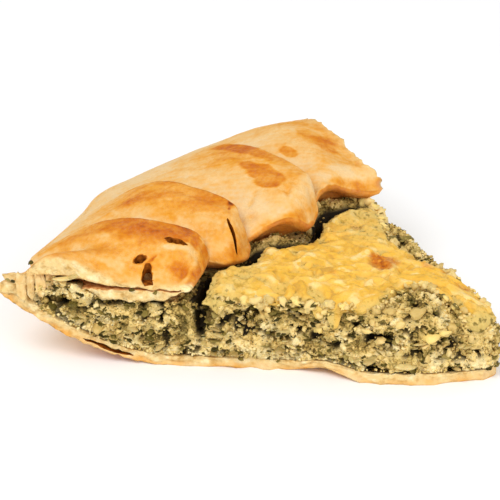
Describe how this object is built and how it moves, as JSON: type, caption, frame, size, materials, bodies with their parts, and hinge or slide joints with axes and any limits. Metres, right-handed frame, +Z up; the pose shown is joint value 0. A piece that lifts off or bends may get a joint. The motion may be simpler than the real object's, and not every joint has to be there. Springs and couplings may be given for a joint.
{
  "type": "spanakopita pie slice",
  "caption": "Wedge of a round free-form spinach and cheese pie: pleated pastry folded over a crumbly green filling, with a baked cheese layer towards the tip.",
  "frame": {"origin": "bottom centre of the slice's bounding box", "axes": "+Z up; +X towards the slice's tip; the shown cut faces -Y"},
  "size_m": [0.1344, 0.121, 0.0361],
  "materials": {
    "baked_dough": "baked pastry, golden brown on the ridges and pale cream in the valleys",
    "spinach": "moist chopped spinach with crumbs of white cheese",
    "baked_cheese": "melted yellow cheese, slightly glossy"
  },
  "bodies": {
    "root": {"pastry_crust": "baked_dough", "spinach_filling": "spinach", "cheese_topping": "baked_cheese"}
  },
  "joints": []
}
